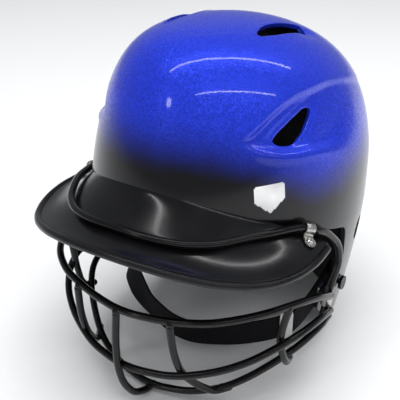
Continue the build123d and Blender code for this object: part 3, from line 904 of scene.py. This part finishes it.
def lower_place():
    """(screw seat, outward, foot direction) of the left clip on the ear flap."""
    y, z = 4.0, 62.0
    along = Vector((dome_x(y + 1, z) - dome_x(y - 1, z), 2, 0))
    upward = Vector((dome_x(y, z + 1) - dome_x(y, z - 1), 0, 2))
    out = along.cross(upward).normalized()
    return Vector((dome_x(y, z), y, z)), out, Vector((0, 0, 1)).cross(out).normalized()


def screw_parts(seat, out):
    """A pan-head screw with a cross recess."""
    base = 0.9 + 1.2 + 0.1
    count, rings = 48, 9
    first, second = axes(out)
    points = []
    for ring in range(rings + 1):
        radius = 3.1 * (1 - ring / (rings + 0.4))
        for k in range(count):
            turn = 2 * pi * k / count
            x, y = radius * cos(turn), radius * sin(turn)
            height = base + 0.5 + 1.3 * sqrt(max(1 - (radius / 3.3) ** 2, 0.0))
            slot = max(ramp(0.6 - abs(x), 0.0, 0.25) * ramp(2.2 - abs(y), 0.0, 0.5),
                       ramp(0.6 - abs(y), 0.0, 0.25) * ramp(2.2 - abs(x), 0.0, 0.5))
            points.append(seat + out * (height - 1.1 * slot) + first * x + second * y)
    crown = tuple(rings * count + k for k in range(count))
    top = (points, ring_quads(rings + 1, count) + [crown])
    shank = turned_piece(seat, out, [(-6.5, 1.6), (-6.0, 2.0), (base - 0.1, 2.0), (base, 2.1),
                                     (base, 2.9), (base + 0.15, 3.1), (base + 0.9, 3.1)])
    return joined([top, shank])


def clip_parts(seat, out, foot):
    """A sheet strip: one leg flat on the seat, a loop round the wire, one leg back on top."""
    reach, radius = 9.2, WIRE_RADIUS + 0.9
    wire = seat - foot * reach + out * (0.9 + CLIP_RADIUS)
    along = out.cross(foot).normalized()
    tip = [reach + 4.0 * sin(radians(turn)) for turn in (88, 70, 50, 30, 0)]
    route = [(u, -3.8, 0.3) for u in tip + [6.5, 3.5, 1.6]]
    route += [(radius * cos(radians(-90 - turn)), radius * sin(radians(-90 - turn)), 0.55)
              for turn in range(0, 301, 12)]
    route += [(4.3, -3.12, 0.4), (5.6, -3.2, 0.3)] + [(u, -3.2, 0.3) for u in tip[::-1]]
    points = []
    for n, (u, v, half) in enumerate(route):
        before, after = route[max(n - 1, 0)], route[min(n + 1, len(route) - 1)]
        run = Vector((after[0] - before[0], after[1] - before[1])).normalized()
        wide = sqrt(max(16.0 - (u - reach) ** 2, 0.3)) if u > reach else 3.5 + 0.5 * ramp(u, 3.5, 7.0)
        for w, h in ((wide, half), (-wide, half), (-wide, -half), (wide, -half)):
            points.append(wire + foot * (u - run.y * h) + out * (v + run.x * h) + along * w)
    return points, tube_faces(len(route), 4)


def overlap_middle(first, second):
    """The middle of the place where two of the frame's wires run into each other, or None."""
    spots = []
    for a, b in ((first, second), (second, first)):
        tree = BVHTree.FromPolygons([v.co.copy() for v in b.vertices],
                                    [tuple(p.vertices) for p in b.polygons])
        for vertex in a.vertices:
            near, normal, _, gap = tree.find_nearest(vertex.co, 0.004)
            if near is not None and (vertex.co - near).dot(normal) < 0:
                spots.append(vertex.co.copy())
    return sum(spots, Vector()) / len(spots) / MM if spots else None


def blob(middle, radius, seed):
    """A slightly uneven ball of coating that fills the corners of a weld."""
    count, rings = 16, 9
    points = []
    for ring in range(rings):
        tilt = pi * (ring + 0.5) / rings
        for k in range(count):
            turn = 2 * pi * k / count
            way = Vector((sin(tilt) * cos(turn), sin(tilt) * sin(turn), cos(tilt)))
            uneven = 1 + 0.10 * noise.noise(way * 1.7 + Vector((seed, 0, 0)))
            points.append(middle + way * radius * uneven)
    return points, tube_faces(rings, count)


def build_welds():
    uprights = ["guard_centre_upright", "guard_inner_upright_left", "guard_inner_upright_right",
                "guard_outer_upright_left", "guard_outer_upright_right"]
    bars = ["guard_upper_bar", "guard_middle_bar", "guard_lower_bar"]
    parts = []
    for upright in uprights:
        for bar in bars:
            middle = overlap_middle(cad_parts[upright].data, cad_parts[bar].data)
            if middle:
                parts.append(blob(middle, 2.95, len(parts)))
    make("guard_weld_coating", *joined(parts), (wire_vinyl,), slot="guard_wire")


MARK = [(0.0, -11.0), (11.0, -2.0), (11.0, 9.0), (-11.0, 9.0), (-11.0, -2.0)]


def build_mark():
    """A plain five-sided home plate painted on the left front of the shell."""
    centre_turn, centre_z = radians(48.0), 163.0
    outline = rounded(MARK, 1.4)
    middle = dome_point(centre_turn, centre_z)
    sideways = (dome_point(centre_turn + 0.01, centre_z) - middle).normalized()
    upward = dome_normal(centre_turn, centre_z).cross(sideways).normalized()
    if upward.z < 0:
        upward.negate()
    span = 24
    points, faces = [], []
    for row in range(span + 1):
        for column in range(span + 1):
            spot = Vector((-12 + 24 * column / span, -12 + 24 * row / span))
            place = middle + sideways * spot.x + upward * spot.y
            for _ in range(3):
                half_width, half_length, centre_y = dome_section(place.z)
                turn = atan2(place.x / half_width, (centre_y - place.y) / half_length)
                on_dome = dome_point(turn, place.z)
                normal = dome_normal(turn, place.z)
                place -= normal * (place - on_dome).dot(normal)
            points.append((place + normal * 0.12, spot))
    kept = []
    for row in range(span):
        for column in range(span):
            quad = [row * (span + 1) + column, row * (span + 1) + column + 1,
                    (row + 1) * (span + 1) + column + 1, (row + 1) * (span + 1) + column]
            if all(outside(tuple(points[n][1]), outline) < 0.3 for n in quad):
                kept.append(quad)
    return [p for p, _ in points], kept


for pad_name, pad_channels in PAD_CHANNELS.items():
    build_pad(pad_name, pad_channels)
build_shell()
build_visor()
build_strap()
build_stitches()
build_slider()
upper_seat, upper_out, upper_foot = upper_place()
lower_seat, lower_out, lower_foot = lower_place()
screws = [screw_parts(upper_seat, upper_out), screw_parts(lower_seat, lower_out)]
screws += [mirrored(part) for part in screws]
for level, place in (("upper", (upper_seat, upper_out, upper_foot)),
                     ("lower", (lower_seat, lower_out, lower_foot))):
    part = clip_parts(*place)
    for hand, half in (("left", part), ("right", mirrored(part))):
        clip = make(f"{level}_p_clip_{hand}", *half, (clip_metal,), slot="clip_metal",
                    replaces=(f"{level}_clip_{hand}",))
        bevel(clip, 0.16, angle=40.0, segments=2)
        settle(clip)
build_welds()
make("clip_screw_set", *joined(screws), (screw_metal,), slot="screws", replaces=("clip_screws",))
mark_points, mark_faces = build_mark()
make("home_plate_mark", mark_points, mark_faces, (mark_white,), slot="shell")

# ---- finishes of the frame's own pieces ---------------------------------------------------
FINISHES = {     # the guard's wires aside
    "visor_edge_trim": trim_vinyl,
    "clip_nuts": screw_metal,
    "snap_stud_left": snap_metal,
    "snap_stud_right": snap_metal,
    "snap_cap_left": cap_plastic,
    "snap_cap_right": cap_plastic,
}


for name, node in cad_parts.items():
    look = wire_vinyl if name.startswith("guard_") else FINISHES.get(name)
    if look:
        for slot in node.material_slots:
            slot.material = look

# ---- floor, light and camera --------------------------------------------------------------
floor = make("floor", [(-4000, -4000, 0), (4000, -4000, 0), (4000, 4000, 0), (-4000, 4000, 0)],
             [(0, 1, 2, 3)], (floor_paper,))


def area_light(name, place, aim, size, power, shape="RECTANGLE"):
    lamp = bpy.data.lights.new(name, "AREA")
    lamp.shape = shape
    lamp.size, lamp.size_y = size
    lamp.energy = power
    holder = bpy.data.objects.new(name, lamp)
    holder.location = place
    holder.rotation_euler = (Vector(aim) - Vector(place)).to_track_quat("-Z", "Y").to_euler()
    bpy.context.scene.collection.objects.link(holder)
    return holder


# two ceiling strips that run side by side from front left to back right
STRIP_TURN = atan2(0.79, 0.61)
for name, middle, power in (("strip_near", (0.30, 0.20, 1.45), 9.0),
                            ("strip_side", (1.53, -0.71, 1.45), 13.0)):
    strip = area_light(name, middle, (middle[0], middle[1], 0.0), (3.0, 0.07), power)
    strip.rotation_euler = (0.0, 0.0, STRIP_TURN)
area_light("soft_front", (-0.47, -1.9, 0.93), (0, 0, 0.2), (0.22, 0.22), 1.6, "DISK")
overhead = area_light("overhead", (0.1, -0.2, 2.2), (0, 0, 0), (2.6, 2.6), 52.0)
overhead.visible_glossy = False

world = bpy.data.worlds.new("studio")
world.use_nodes = True
world.node_tree.nodes["Background"].inputs["Color"].default_value = (0.92, 0.95, 1.0, 1)
world.node_tree.nodes["Background"].inputs["Strength"].default_value = 0.28
bpy.context.scene.world = world
bpy.context.scene.view_settings.view_transform = "Standard"

lens = bpy.data.cameras.new("camera")
lens.sensor_width = 36.0
lens.lens = 67.7
camera = bpy.data.objects.new("camera", lens)
camera.location = (0.25811, -0.44160, 0.38705)
camera.rotation_euler = (radians(62.0), 0.0, radians(31.97))
bpy.context.scene.collection.objects.link(camera)
bpy.context.scene.camera = camera
